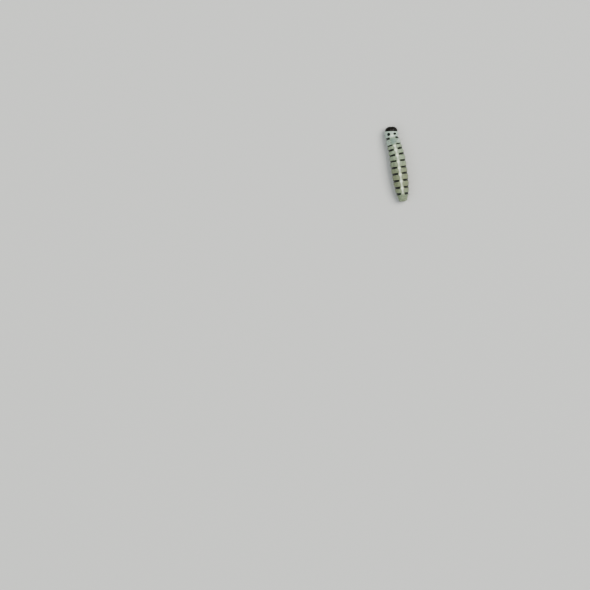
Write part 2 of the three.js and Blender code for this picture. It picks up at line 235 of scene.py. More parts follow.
def body_coordinates(points):
    """Station and angle of places in the frame of the solids."""
    station = points[:, 1] - ORIGIN[1]
    for _ in range(4):
        place, along, _, _ = spine(station)
        station = station + np.sum((points - place) * along, axis=1)
    place, _, left, up = spine(station)
    sideways = np.sum((points - place) * left, axis=1) / width_at(station)
    upwards = np.sum((points - place) * up, axis=1) / height_at(station)
    return station, np.arctan2(sideways, upwards)


def outward(station, angle):
    """The way out of the skin."""
    step = 0.01
    ahead = body_point(station + step, angle) - body_point(station - step, angle)
    across = body_point(station, angle + step) - body_point(station, angle - step)
    return normalised(np.cross(across, ahead))


def lifted_point(station, angle, lift):
    """A place above the skin, or below it for a negative lift."""
    return body_point(station, angle) + outward(station, angle) * np.asarray(lift)[..., None]


def below_body(station):
    """The place on the ground under the body's axis."""
    return ORIGIN + (sway_at(station), station, 0)


def mirrored(middle, offset, sign):
    """A place at an offset from a middle. The offset is for the left, and is mirrored for the right."""
    return middle + np.array(offset) * (sign, 1, 1)


# Meshes are pairs of a vertex array and a list of faces until they become objects.


def band_faces(bands, count, sides):
    """Faces of the bands between neighbouring rings of points. The first ring follows the last."""
    faces = []
    for ring in range(bands):
        low, high = ring * sides, (ring + 1) % count * sides
        for side in range(sides):
            after = (side + 1) % sides
            faces.append((low + side, low + after, high + after, high + side))
    return faces


def ring_mesh(rings, first, last):
    """Closed mesh over rings of points, with a point at each end."""
    count, sides = rings.shape[:2]
    vertices = np.vstack((rings.reshape(-1, 3), [first, last]))
    faces = band_faces(count - 1, count, sides)
    start, end = count * sides, count * sides + 1
    top = (count - 1) * sides
    faces += [(start, (side + 1) % sides, side) for side in range(sides)]
    faces += [(end, top + side, top + (side + 1) % sides) for side in range(sides)]
    return vertices, faces


def joined(meshes):
    vertices, faces = [], []
    base = 0
    for points, polygons in meshes:
        vertices.append(points)
        faces += [tuple(base + i for i in polygon) for polygon in polygons]
        base += len(points)
    return np.vstack(vertices), faces


def tube(path, radii, sides):
    """Closed tube round a path, which tapers to its end radii."""
    path = np.asarray(path, float)
    radii = np.asarray(radii, float)
    along = normalised(np.gradient(path, axis=0))
    reference = np.eye(3)[np.argmin(np.abs(along.mean(axis=0)))]
    side = normalised(np.cross(along, reference))
    other = np.cross(along, side)
    turn = angles_round(sides)[None, :, None]
    around = np.cos(turn) * side[:, None] + np.sin(turn) * other[:, None]
    return ring_mesh(path[:, None] + radii[:, None, None] * around, path[0], path[-1])


def rod(start, end, start_radius, end_radius):
    """Round-ended rod between two places."""
    way = normalised(end - start)
    turn = np.linspace(math.radians(4), math.pi / 2, 7)
    near = [start - way * start_radius * math.cos(t) for t in turn]
    far = [end + way * end_radius * math.cos(t) for t in turn[::-1]]
    radii = [start_radius * math.sin(t) for t in turn] + [end_radius * math.sin(t) for t in turn[::-1]]
    return tube(near + far, radii, ROD_SIDES)


def egg(place, way, half_x, half_y, half_z, detail=4):
    """Egg with its own Z axis along a direction."""
    made = bmesh.new()
    bmesh.ops.create_icosphere(made, subdivisions=detail, radius=1)
    turn = Vector((0, 0, 1)).rotation_difference(Vector(way)).to_matrix().to_4x4()
    matrix = Matrix.Translation(Vector(place)) @ turn @ Matrix.Diagonal((half_x, half_y, half_z, 1))
    bmesh.ops.transform(made, matrix=matrix, verts=made.verts)
    vertices = np.array([v.co for v in made.verts])
    made.verts.index_update()
    faces = [tuple(v.index for v in f.verts) for f in made.faces]
    made.free()
    return vertices, faces


def in_scene(name, data):
    """A new object that stands in the scene."""
    made = bpy.data.objects.new(name, data)
    bpy.context.scene.collection.objects.link(made)
    return made


def new_object(name, mesh):
    vertices, faces = mesh
    data = bpy.data.meshes.new(name)
    data.from_pydata(vertices.tolist(), [], faces)
    data.update()
    return in_scene(name, data)


def fused(name, mesh, voxel, smoothing):
    """One continuous surface over overlapping closed meshes."""
    piece = new_object(name, mesh)
    remesh = piece.modifiers.new("fuse", "REMESH")
    remesh.mode = "VOXEL"
    remesh.voxel_size = voxel
    smooth = piece.modifiers.new("smooth", "SMOOTH")
    smooth.factor = 0.5
    smooth.iterations = smoothing
    shaped = piece.evaluated_get(bpy.context.evaluated_depsgraph_get())
    data = bpy.data.meshes.new_from_object(shaped)
    piece.modifiers.clear()
    piece.data = data
    return piece


def vertices_of(piece):
    flat = np.empty(len(piece.data.vertices) * 3)
    piece.data.vertices.foreach_get("co", flat)
    return flat.reshape(-1, 3)


def move_vertices(piece, points):
    piece.data.vertices.foreach_set("co", np.ascontiguousarray(points, np.float32).ravel())
    piece.data.update()


def raise_surface(piece, heights):
    """Moves each vertex along its normal."""
    normals = np.empty(len(piece.data.vertices) * 3)
    piece.data.vertices.foreach_get("normal", normals)
    move_vertices(piece, vertices_of(piece) + normals.reshape(-1, 3) * heights[:, None])


def store(piece, name, values):
    """Stores how strongly a marking shows at each vertex, from 0 to 1."""
    attribute = piece.data.attributes.new(name, "FLOAT", "POINT")
    attribute.data.foreach_set("value", np.clip(values, 0, 1).astype(np.float32))


def finished(piece, material, slot, *nodes):
    """Brings a piece to metres, shades it smooth, gives it its material, hangs it on the root and hides
    the nodes it stands for. The slot, its finish, is not used.
    """
    move_vertices(piece, vertices_of(piece) * MM)
    piece.data.shade_smooth()
    piece.data.materials.append(material)
    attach(piece, "root")
    if nodes:
        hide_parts(*nodes)


def noise_at(points, size, seed):
    """Smooth noise from -1 to 1 at points, with lumps of a size."""
    shift = Vector((seed * 7.3, seed * 3.1, seed * 5.7))
    return np.array([noise.noise(Vector(p) / size + shift) for p in points])


def linear(*channels):
    """Linear colour from the 0 to 255 channels of a display colour."""
    shares = [channel / 255 for channel in channels]
    return tuple(c / 12.92 if c <= 0.04045 else ((c + 0.055) / 1.055) ** 2.4 for c in shares) + (1.0,)


class Material:
    """A node material on a Principled shader, built by adding nodes to it."""

    def __init__(self, name, roughness, coat=0.0, coat_roughness=0.1, ior=1.45):
        self.material = bpy.data.materials.new(name)
        self.material.use_nodes = True
        self.tree = self.material.node_tree
        self.shader = self.tree.nodes["Principled BSDF"]
        self.place = self.add("ShaderNodeTexCoord", "Object", {})
        coating = {"Coat Weight": coat, "Coat Roughness": coat_roughness}
        self.surface({"Roughness": roughness, "IOR": ior, **coating})

    def fill(self, node, inputs):
        """Links a node's inputs to other nodes, or gives them plain values."""
        for name, value in inputs.items():
            if isinstance(value, bpy.types.NodeSocket):
                self.tree.links.new(value, node.inputs[name])
            else:
                node.inputs[name].default_value = value

    def surface(self, inputs):
        self.fill(self.shader, inputs)

    def add(self, kind, output, inputs, **settings):
        """Adds a node, and returns one of its outputs."""
        node = self.tree.nodes.new(kind)
        for name, value in settings.items():
            setattr(node, name, value)
        self.fill(node, inputs)
        return node.outputs[output]

    def noise(self, size_mm, detail=3.0):
        inputs = {"Vector": self.place, "Scale": 1 / (size_mm * MM), "Detail": detail, "Roughness": 0.55}
        return self.add("ShaderNodeTexNoise", "Fac", inputs)

    def attribute(self, name):
        return self.add("ShaderNodeAttribute", "Fac", {}, attribute_name=name)

    def ranged(self, value, low, high, to_low=0.0, to_high=1.0):
        inputs = {"Value": value, "From Min": low, "From Max": high, "To Min": to_low, "To Max": to_high}
        return self.add("ShaderNodeMapRange", "Result", inputs)

    def mixed(self, factor, first, second):
        inputs = {"Factor": factor, "A": first, "B": second}
        return self.add("ShaderNodeMix", "Result", inputs, data_type="RGBA")

    def colour(self, value):
        self.surface({"Base Color": value})

    def roughness(self, value):
        self.surface({"Roughness": value})

    def network(self, size_mm, depth_mm, strength):
        """Presses a fine network of cells into the surface."""
        cells = {"Vector": self.place, "Scale": 1 / (size_mm * MM)}
        height = self.add("ShaderNodeTexVoronoi", "Distance", cells, feature="DISTANCE_TO_EDGE")
        bump = {"Strength": strength, "Distance": depth_mm * MM, "Height": height}
        self.surface({"Normal": self.add("ShaderNodeBump", "Normal", bump)})


# Display colours, 0 to 255
FLESH = linear(150, 169, 138)
FLESH_REAR = linear(128, 137, 103)
FLESH_GREY = linear(98, 110, 84)
PALE = linear(238, 250, 222)
COLLAR = linear(170, 191, 176)
BLUE_GREY = linear(100, 128, 118)
BAND = linear(13, 17, 9)
BELLY = linear(132, 141, 114)
HEAD_BLACK = linear(9, 10, 8)
HEAD_BROWN = linear(24, 20, 14)
HEAD_PALE = linear(134, 118, 86)
LENS_DARK, LENS_LIGHT = linear(16, 14, 11), linear(46, 38, 28)
HAIR_DARK, HAIR_LIGHT = linear(24, 24, 20), linear(60, 56, 46)
LEG_DARK, LEG_LIGHT = linear(18, 19, 14), linear(52, 46, 34)
PLATE_DARK, PLATE_LIGHT = linear(14, 19, 15), linear(26, 32, 26)
TAIL_DARK, TAIL_LIGHT = linear(96, 106, 80), linear(132, 142, 110)
MOUTH_DARK, MOUTH_LIGHT = linear(44, 34, 22), linear(96, 76, 50)
FLOOR_GREY = linear(206, 207, 203)


def skin_material():
    """Soft skin, coloured by the markings stored on its vertices over a mottled ground."""
    made = Material("skin", roughness=0.45, coat=0.08, coat_roughness=0.25, ior=1.38)
    colour = made.mixed(made.attribute("rear"), FLESH, FLESH_REAR)
    mottle = made.ranged(made.noise(0.09), 0.4, 0.72, 0.0, 0.75)
    colour = made.mixed(mottle, colour, FLESH_GREY)
    colour = made.mixed(made.attribute("belly"), colour, BELLY)
    colour = made.mixed(made.attribute("collar"), colour, COLLAR)
    colour = made.mixed(made.attribute("blue"), colour, BLUE_GREY)
    colour = made.mixed(made.attribute("pale"), colour, PALE)
    speckle = made.ranged(made.noise(0.02, detail=4.0), 0.56, 0.68, 0.0, 0.35)
    colour = made.mixed(speckle, colour, FLESH_GREY)
    colour = made.mixed(made.attribute("dark"), colour, BAND)
    made.colour(colour)
    made.roughness(made.ranged(made.noise(0.05), 0.3, 0.7, 0.38, 0.56))
    made.network(0.016, 0.0035, 0.5)
    # Light that scatters under the surface
    made.surface({"Subsurface Weight": 0.2, "Subsurface Scale": 0.02 * MM})
    made.surface({"Subsurface Radius": (1.0, 0.9, 0.6)})
    return made.material


def shell_material(name, dark, light, roughness, coat=0.15, ior=1.5):
    """Hard cuticle: nearly black, browner where it thins, with a fine network pressed in."""
    made = Material(name, roughness=roughness, coat=coat, coat_roughness=0.15, ior=ior)
    made.colour(made.mixed(made.ranged(made.noise(0.08), 0.4, 0.7), dark, light))
    made.roughness(made.ranged(made.noise(0.03), 0.3, 0.7, roughness * 0.85, roughness * 1.25))
    made.network(0.022, 0.002, 0.35)
    return made.material


def head_material():
    """The head's black cuticle, with paler rings round the feelers and a paler lower rim."""
    made = Material("head_shell", roughness=0.34, coat=0.03, coat_roughness=0.12, ior=1.23)
    colour = made.mixed(made.ranged(made.noise(0.1), 0.4, 0.7), HEAD_BLACK, HEAD_BROWN)
    made.colour(made.mixed(made.attribute("pale"), colour, HEAD_PALE))
    made.roughness(made.ranged(made.noise(0.03), 0.3, 0.7, 0.3, 0.4))
    made.network(0.02, 0.0012, 0.5)
    return made.material


def lens_material():
    made = Material("eye_lens", roughness=0.06, coat=0.8, coat_roughness=0.03, ior=1.5)
    made.colour(made.mixed(made.ranged(made.noise(0.02), 0.35, 0.65), LENS_DARK, LENS_LIGHT))
    return made.material


def hair_material():
    made = Material("hair", roughness=0.35, coat=0.1)
    made.colour(made.mixed(made.noise(0.04), HAIR_DARK, HAIR_LIGHT))
    return made.material


skin_look = skin_material()
head_look = head_material()
leg_look = shell_material("leg_shell", LEG_DARK, LEG_LIGHT, 0.32)
plate_look = shell_material("plate", PLATE_DARK, PLATE_LIGHT, 0.6, coat=0.0, ior=1.25)
tail_look = shell_material("tail_plate", TAIL_DARK, TAIL_LIGHT, 0.45, coat=0.05, ior=1.38)
mouth_look = shell_material("mouthparts", MOUTH_DARK, MOUTH_LIGHT, 0.35)
lens_look = lens_material()
hair_look = hair_material()

# Skin

COLLAR_PLATE_RADIUS = 0.083
COLLAR_PLATE_STATION = STARTS[0] + 0.158
COLLAR_PLATE_ASIDE = 0.156  # along the skin from the middle of the back
COLLAR_START = HEAD_SHOWN + 0.005
COLLAR_RIM = 0.022  # radius of its rounded front edge
SKIN_VOXEL = 0.0085
SKIN_SMOOTHING = 4
BODY_SIDES = 120
RING_SPACING = 0.011
FOOT_SEGMENTS = (3, 4, 5, 6)
FOOT_SIDES = 36
# Top and sole of a foot beside the body's middle, and its radius at the body
FOOT = ((0.17, 0, 0.27), (0.212, 0, 0), 0.095)
LAST_FOOT = ((0.1, -0.06, 0.24), (0.13, -0.01, 0), 0.092)
# A foot's outline: distance from the sole, and share of the sole's radius or, higher up, of the foot's
FOOT_LOW_OUTLINE = ((0.0, 0.8), (0.003, 0.95), (0.012, 1.03), (0.024, 0.98), (0.04, 0.86), (0.052, 0.9))
FOOT_HIGH_OUTLINE = ((0.072, 0.86), (0.092, 0.93), (0.108, 0.87), (0.13, 0.97), (0.16, 1.1))
TAIL_STATION = segment_place("abdomen_10", 0.5)
TAIL_CREASE_DEPTH = 0.013


def body_mesh():
    """The body from the collar's rim to the tail's tip. It starts inside the back of the head."""
    angle = (angles_round(BODY_SIDES) + math.pi) % (2 * math.pi) - math.pi
    rings = [lifted_point(HEAD_SHOWN + 0.05, angle, -0.075)]
    for turn in np.radians((-50, -25, 0, 25, 50, 75)):
        rim_station = COLLAR_START + COLLAR_RIM * (1 - math.cos(turn))
        rings.append(lifted_point(rim_station, angle, COLLAR_RIM * (math.sin(turn) - 1)))
    straight = np.arange(COLLAR_START + COLLAR_RIM + 0.004, TAIL_END - TAIL_ROUND, RING_SPACING)
    closing = TAIL_END - TAIL_ROUND * (1 - np.sin(np.linspace(0, math.pi / 2, 16)[:-1]))
    rings += [body_point(station, angle) for station in np.concatenate((straight, closing))]
    inside_head = spine(HEAD_SHOWN + 0.12)[0]
    return ring_mesh(np.array(rings), inside_head, spine(TAIL_END)[0])


def foot_mesh(top, sole, base_radius):
    """A fleshy foot: a stub with a soft ring above a flat sole that puffs a little at its rim."""
    length = np.linalg.norm(top - sole)
    low = [(distance, share * SOLE_RADIUS) for distance, share in FOOT_LOW_OUTLINE]
    high = [(distance, share * base_radius) for distance, share in FOOT_HIGH_OUTLINE]
    distances, radii = np.array(low + high + [(length, base_radius * 1.15)]).T
    path = sole + (top - sole) / length * distances[:, None]
    turn = angles_round(FOOT_SIDES)
    flat = np.stack((np.cos(turn), np.sin(turn), np.zeros_like(turn)), axis=1)
    return ring_mesh(path[:, None] + radii[:, None, None] * flat[None], path[0], path[-1])


def placed_feet():
    """Top and sole of each fleshy foot, with its radius at the body."""
    stations = [segment_place(f"abdomen_{number}", 0.5) for number in FOOT_SEGMENTS]
    kinds = [(station, FOOT) for station in stations] + [(TAIL_STATION, LAST_FOOT)]
    feet = []
    for station, (top, sole, radius) in kinds:
        middle = below_body(station)
        for _, sign in SIDES:
            feet.append((mirrored(middle, top, sign), mirrored(middle, sole, sign), radius))
    return feet


def wrinkles(points):
    """Height of the fine wrinkles, which run across the body and fade towards the soles."""
    coarse = noise_at(points * (1, 2.6, 1), 0.05, 1) * 0.0035
    fine = noise_at(points, 0.022, 2) * 0.0012
    return (coarse + fine) * smoothstep(0.02, 0.1, points[:, 2])


def tail_creases(points):
    """Below the tail's plate the end is creased across, and from there down between the last feet."""
    from_tip = points - spine(TAIL_END)[0]
    on_end = smoothstep(-0.07, -0.03, from_tip[:, 1])
    across = hump(from_tip[:, 2] + 0.02, 0.011) * hump(from_tip[:, 0], 0.1, 4)
    down = hump(from_tip[:, 0], 0.009) * hump(from_tip[:, 2] + 0.075, 0.05, 6)
    return np.maximum(across, down) * on_end


# The segments that dark rings follow
FIRST_RING = SEGMENT_NAMES.index("mesothorax")
LAST_RING = SEGMENT_NAMES.index("abdomen_7")
# Half widths of the markings, and the angles between which the rings end and the belly begins
FIRST_RING_HALF = 0.04
RING_HALF = 0.058
NOTCH_HALF = 0.064
LINE_HALF = 0.03
LINE_SWELL = 0.032
CREASE_SHADE_HALF = 0.016
RING_END = (math.radians(118), math.radians(140))
BELLY_EDGE = (math.radians(112), math.radians(150))


class SkinPlaces:
    """Where points of the skin lie on the body, and how uneven its markings are there."""

    def __init__(self, points):
        self.station, self.angle = body_coordinates(points)
        self.index, self.share = segment_share(self.station)
        self.across = np.abs(self.angle) * girth_at(self.station)
        self.wobble = noise_at(points, 0.07, 3) * 0.012
        self.unevenness = noise_at(points, 0.17, 7)


def faded(distance, half, start, end):
    """1 in the middle of a marking, falling to 0 between two shares of its half width."""
    return 1 - smoothstep(half * start, half * end, distance)


def dark_rings(places):
    """Rings in the folds behind the second segment, open along the middle of the back."""
    dark = np.zeros(len(places.station))
    for ring in range(FIRST_RING, LAST_RING + 1):
        half = FIRST_RING_HALF if ring == FIRST_RING else RING_HALF
        distance = np.abs(places.station - ENDS[ring] + places.wobble * 0.6)
        dark = np.maximum(dark, faded(distance, half * (1 + 0.22 * places.unevenness), 0.78, 1.12))
    return dark * smoothstep(0.08, 0.112, places.across + places.wobble)


def neck_notches(places):
    """A dark notch at each side behind the collar, partly a real dark mark and partly painted shade of the
    deep neck fold. The one on the larva's right lies further back.
    """
    half = NOTCH_HALF * (1 + 0.2 * places.unevenness)
    middle = ENDS[0] + 0.01 + 0.03 * smoothstep(0.1, 0.4, -places.angle)
    notch = faded(np.abs(places.station - middle + places.wobble * 0.6), half, 0.75, 1.2)
    return notch * smoothstep(0.125, 0.17, places.across + places.wobble)


def leg_patches(places):
    """A dark patch low on each side of the collar."""
    down = np.abs(places.angle) - math.radians(124)
    return hump(places.station - STARTS[0] - 0.13, 0.07, 4) * hump(down, 0.18, 4) * 0.9


def shaded_creases(places):
    """A little shade in the rings pressed into the segments behind the collar."""
    shade = np.zeros(len(places.station))
    for crease in CREASE_SHARES:
        distance = (places.share - crease) * lengths[places.index]
        shade = np.maximum(shade, hump(distance, CREASE_SHADE_HALF))
    return shade * 0.22 * (places.index > 0)


def plate_rims(places):
    """A soft dark edge round the collar's plates."""
    from_plate = np.hypot(places.station - COLLAR_PLATE_STATION, places.across - COLLAR_PLATE_ASIDE)
    return faded(from_plate, COLLAR_PLATE_RADIUS, 0.9, 1.3) * 0.85


def dark_markings(places, tail_crease):
    """All that is dark on the skin: dark rings and patches, with painted shade in the neck notches and in
    the creases. Rings and notches end low on the flank.
    """
    above_feet = 1 - smoothstep(*RING_END, np.abs(places.angle) + places.wobble * 4)
    rings = np.maximum(dark_rings(places), neck_notches(places)) * above_feet
    # Painted shade in the tail's creases and in the rings pressed into the segments
    crease_shade = np.maximum(tail_crease * 0.6, shaded_creases(places))
    return np.maximum.reduce((rings, leg_patches(places), plate_rims(places), crease_shade))


def pale_markings(places):
    """The line along the back, which swells behind each ring, and a spot at the back of the collar."""
    swell = np.zeros(len(places.station))
    for ring in range(FIRST_RING, LAST_RING + 1):
        swell = np.maximum(swell, hump(places.station - ENDS[ring] - 0.05, 0.075))
    start, end = ENDS[FIRST_RING] - 0.02, ENDS[LAST_RING] - 0.04
    begun = smoothstep(start, start + 0.08, places.station)
    ended = smoothstep(end, end + 0.06, places.station)
    line = faded(places.across + places.wobble, LINE_HALF + LINE_SWELL * swell, 0.7, 1.35)
    collar_spot = hump(places.station - ENDS[0] + 0.1, 0.05) * hump(places.across, 0.07)
    return np.maximum(line * (begun * (1 - ended)) * (0.6 + 0.4 * swell), collar_spot * 0.9)


def collar_markings(places):
    """The whitish collar, and the second segment's shoulders of the same colour."""
    collar = 1 - smoothstep(ENDS[0] - 0.03, ENDS[0] + 0.02, places.station)
    shoulder = hump(places.station - MIDDLES[1], 0.15, 4) * smoothstep(0.15, 0.22, places.across)
    back = 1 - smoothstep(0.42, 0.66, places.across)
    return np.maximum(collar * 0.95, shoulder * 0.9) * back


FEET = placed_feet()
body_and_feet = joined([body_mesh()] + [foot_mesh(*foot) for foot in FEET])
skin = fused("skin", body_and_feet, SKIN_VOXEL, SKIN_SMOOTHING)
skin_points = vertices_of(skin)
tail_crease = tail_creases(skin_points)
raise_surface(skin, wrinkles(skin_points) - TAIL_CREASE_DEPTH * tail_crease)

on_skin = SkinPlaces(skin_points)
store(skin, "dark", dark_markings(on_skin, tail_crease))
store(skin, "pale", pale_markings(on_skin))
store(skin, "collar", collar_markings(on_skin))
# The second segment's middle is bluish, and the rear a little browner
middle_distance = on_skin.station - MIDDLES[1]
store(skin, "blue", hump(middle_distance, 0.17, 4) * hump(on_skin.across, 0.18, 3) * 0.8)
store(skin, "belly", smoothstep(*BELLY_EDGE, np.abs(on_skin.angle)))
tail_fade = 1 - 0.5 * smoothstep(ENDS[8], ENDS[9], on_skin.station)
store(skin, "rear", smoothstep(ENDS[3], ENDS[6], on_skin.station) * tail_fade)
flesh_nodes = SEGMENT_NAMES + [f"proleg_{n}_{side}" for n in FOOT_SEGMENTS for side, _ in SIDES]
flesh_nodes += [f"anal_proleg_{side}" for side, _ in SIDES]
finished(skin, skin_look, "flesh", *flesh_nodes)

# Head

HEAD_PLACE = Matrix.Translation(Vector(ORIGIN + (sway_at(HEAD_HALF[1]), HEAD_HALF[1], HEAD_HEIGHT)))
HEAD_PLACE = HEAD_PLACE @ Matrix.Rotation(-HEAD_YAW, 4, "Z") @ Matrix.Rotation(HEAD_TILT, 4, "X")
HEAD_TURN = np.array(HEAD_PLACE.to_3x3())
HEAD_MIDDLE = np.array(HEAD_PLACE.translation)
HEAD_DETAIL = 8
# The face's forked line in the head's own frame, and the finer line above and outside it
FACE_APEX = 0.04
FACE_BASE = -0.17
FACE_HALF = 0.1
FINE_FORK_ABOVE = 0.05
FINE_FORK_ASIDE = 0.035
# Places on the head, in degrees to the left and up
MOUTH_PITCH = -72
FEELER_YAW, FEELER_PITCH = 44, -50
EYE_YAW, EYE_PITCH = 62, -28


def head_local(direction, margin=0.0):
    """Head surface in its own frame: an egg with a cleft crown, a flat face and a narrow jaw."""
    x, y, z = direction[..., 0], direction[..., 1], direction[..., 2]
    cleft = 0.055 * smoothstep(-0.05, 0.6, z) * hump(x, 0.14)
    flat = 0.06 * smoothstep(0.6, 1, -y)
    point = direction * HEAD_HALF * (1 - cleft - flat)[..., None]
    point[..., 0] *= 1 - 0.2 * smoothstep(0.25, 1, -z)
    return point + direction * np.asarray(margin)[..., None]


def on_head(yaw, pitch, margin=0.0):
    """A place on the head, and the way out there, from degrees to the left and up."""
    yaw, pitch = math.radians(yaw), math.radians(pitch)
    way = np.array((math.sin(yaw) * math.cos(pitch), -math.cos(yaw) * math.cos(pitch), math.sin(pitch)))
    place = HEAD_TURN @ head_local(way, margin) + HEAD_MIDDLE
    return place, HEAD_TURN @ normalised(way / HEAD_HALF)


MOUTH, _ = on_head(0, MOUTH_PITCH)
MOUTH_LOCAL = HEAD_TURN.T @ (MOUTH - HEAD_MIDDLE)
MOUTH_WAY = np.array((0, -math.cos(math.radians(MOUTH_PITCH)), math.sin(math.radians(MOUTH_PITCH))))


def segment_distance(x, z, start, end):
    """Distance in the face's plane from a line between two points."""
    start, end = np.array(start), np.array(end)
    run = end - start
    offset = np.stack((x, z), axis=-1) - start
    t = np.clip(offset @ run / (run @ run), 0, 1)
    return np.linalg.norm(offset - t[..., None] * run, axis=-1)


def fork_distance(x, z, apex, half):
    """Distance from a line that forks at a height and runs down both sides of the face."""
    return np.minimum(*(segment_distance(x, z, (0, apex), (half * sign, FACE_BASE)) for _, sign in SIDES))


def front_share(y):
    """1 on the face, falling to 0 behind it."""
    return smoothstep(0.02, 0.08, -y)


def pressed_lines(x, y, z):
    """Depth of the forked line, the finer line outside it and the seam over the crown."""
    fork = fork_distance(x, z, FACE_APEX, FACE_HALF)
    fork = np.minimum(fork, segment_distance(x, z, (FACE_HALF, FACE_BASE), (-FACE_HALF, FACE_BASE)))
    fine_fork = fork_distance(x, z, FACE_APEX + FINE_FORK_ABOVE, FACE_HALF + FINE_FORK_ASIDE)
    depth = (0.007 * hump(fork, 0.008) + 0.004 * hump(fine_fork, 0.006)) * front_share(y)
    from_seam = np.where((z > FACE_APEX) | (y > 0), np.abs(x), 1.0)
    return depth + 0.008 * hump(from_seam, 0.009) * smoothstep(FACE_APEX, FACE_APEX + 0.03, z)


def face_swell(x, y, z):
    """Rise of the face inside the fork."""
    fork_half = FACE_HALF * (FACE_APEX - z) / (FACE_APEX - FACE_BASE)
    inside_fork = smoothstep(0.0, 0.02, fork_half - np.abs(x))
    return 0.006 * inside_fork * front_share(y) * smoothstep(FACE_BASE - 0.01, FACE_BASE + 0.02, z)


def mouth_hollow(points):
    """Depth of the hollow that the mouthparts stand in."""
    from_mouth = points - MOUTH_LOCAL
    backwards = from_mouth @ np.cross((1, 0, 0), MOUTH_WAY)
    from_middle = np.hypot(from_mouth[:, 0] / 0.15, backwards / 0.09)
    return 0.035 * (1 - smoothstep(0.72, 1.0, from_middle)) * (points[:, 2] < 0)


def head_mesh():
    """The head, with the lines and swelling of its face, its mouth hollow and small dents."""
    directions, faces = egg((0, 0, 0), (0, 0, 1), 1, 1, 1, HEAD_DETAIL)
    directions = normalised(directions)
    smooth = head_local(directions)
    dents = noise_at(smooth, 0.06, 5) * 0.0012 + noise_at(smooth, 0.018, 6) * 0.0003
    relief = face_swell(*smooth.T) - pressed_lines(*smooth.T) - mouth_hollow(smooth) + dents
    return head_local(directions, relief) @ HEAD_TURN.T + HEAD_MIDDLE, faces


def pale_on_head(points):
    """Paler cuticle round the mouth and the feelers."""
    pale = hump(np.linalg.norm((points - MOUTH) / (1.5, 1, 1), axis=1), 0.1, 4) * 0.7
    for _, sign in SIDES:
        feeler_at, _ = on_head(FEELER_YAW * sign, FEELER_PITCH)
        pale = np.maximum(pale, hump(np.linalg.norm(points - feeler_at, axis=1), 0.05, 4) * 0.8)
    return pale


head = new_object("head_shell", head_mesh())
store(head, "pale", pale_on_head(vertices_of(head)))
finished(head, head_look, "head_shell", "head", "face_plate")

# Eyes

LENS_RADIUS = 0.019
EYE_ARC = 0.05  # radius of the arc that five lenses stand on, with the sixth inside it
EYE_ARC_DEGREES = (-110, -55, 0, 55, 110)


def eye_mesh(sign):
    """The six lenses of one side."""
    place, out = on_head(EYE_YAW * sign, EYE_PITCH)
    back = normalised(np.cross(out, (0, 0, 1))) * sign
    up = np.cross(back, out) * sign
    lenses = []
    for degrees, distance in [(d, EYE_ARC) for d in EYE_ARC_DEGREES] + [(180, EYE_ARC * 0.3)]:
        turn = math.radians(degrees)
        centre = place - back * math.cos(turn) * distance + up * math.sin(turn) * distance - out * 0.004
        lenses.append(egg(centre, out, LENS_RADIUS, LENS_RADIUS, LENS_RADIUS * 0.9))
    return joined(lenses)


for side, sign in SIDES:
    finished(new_object(f"eye_lenses_{side}", eye_mesh(sign)), lens_look, "eye_lens", f"eyes_{side}")

# Mouthparts


def mouth_point(x, forward, down):
    """A place by the mouth: to the left of its middle, forwards and down."""
    return MOUTH + (x, -forward, -down)


def fine_piece(name, meshes, look, slot, node, voxel=0.0035, smoothing=3):
    """A small piece fused from closed meshes, which stands for a node."""
    finished(fused(name, joined(meshes), voxel, smoothing), look, slot, node)


def lip():
    """The upper lip: a bar with two lobes below it."""
    way = (0, -0.5, -1)
    lobes = [egg(mouth_point(0.034 * sign, 0.075, -0.002), way, 0.052, 0.024, 0.046) for _, sign in SIDES]
    return lobes + [egg(mouth_point(0, 0.078, -0.02), way, 0.08, 0.022, 0.03)]


def jaw(sign):
    """A jaw with three small teeth."""
    place = mouth_point(0.062 * sign, 0.015, 0.0)
    meshes = [egg(place, (-0.35 * sign, -0.3, -1), 0.044, 0.042, 0.05)]
    for tooth in range(3):
        root = mirrored(place, (-0.02, -0.018 + tooth * 0.018, -0.03), sign)
        meshes.append(rod(root, mirrored(root, (-0.012, -0.004, -0.012), sign), 0.01, 0.004))
    return meshes


def palp(sign):
    """A feeding palp of two joints with a fine tip."""
    base = mouth_point(0.092 * sign, -0.066, -0.012)
    joint = mirrored(base, (0.006, -0.012, -0.03), sign)
    tip = joint + (0, -0.014, -0.016)
    bristle = rod(tip, tip + (0, -0.004, -0.01), 0.005, 0.003)
    return [rod(base, joint, 0.026, 0.018), rod(joint, tip, 0.013, 0.009), bristle]


def feeler(sign):
    """A feeler of three joints with a bristle."""
    base, _ = on_head(FEELER_YAW * sign, FEELER_PITCH, -0.012)
    way = normalised(np.array((0.3 * sign, -0.8, -0.5)))
    elbow = base + way * 0.062
    end = elbow + way * 0.036
    return [
        rod(base, base + way * 0.026, 0.031, 0.026),
        rod(base + way * 0.03, elbow, 0.021, 0.017),
        rod(elbow, end, 0.011, 0.008),
        rod(end, end + way * 0.012, 0.004, 0.002),
    ]


def chin():
    """The lower lip, with the tube that silk comes from between two short palps."""
    place = mouth_point(0, -0.065, -0.012)
    meshes = [egg(place, (0, 0, 1), 0.05, 0.042, 0.032)]
    meshes.append(rod(place, place + (0, -0.025, -0.052), 0.018, 0.007))
    for _, sign in SIDES:
        root = mirrored(place, (0.024, -0.01, -0.02), sign)
        meshes.append(rod(root, mirrored(place, (0.026, -0.018, -0.04), sign), 0.009, 0.006))
    return meshes


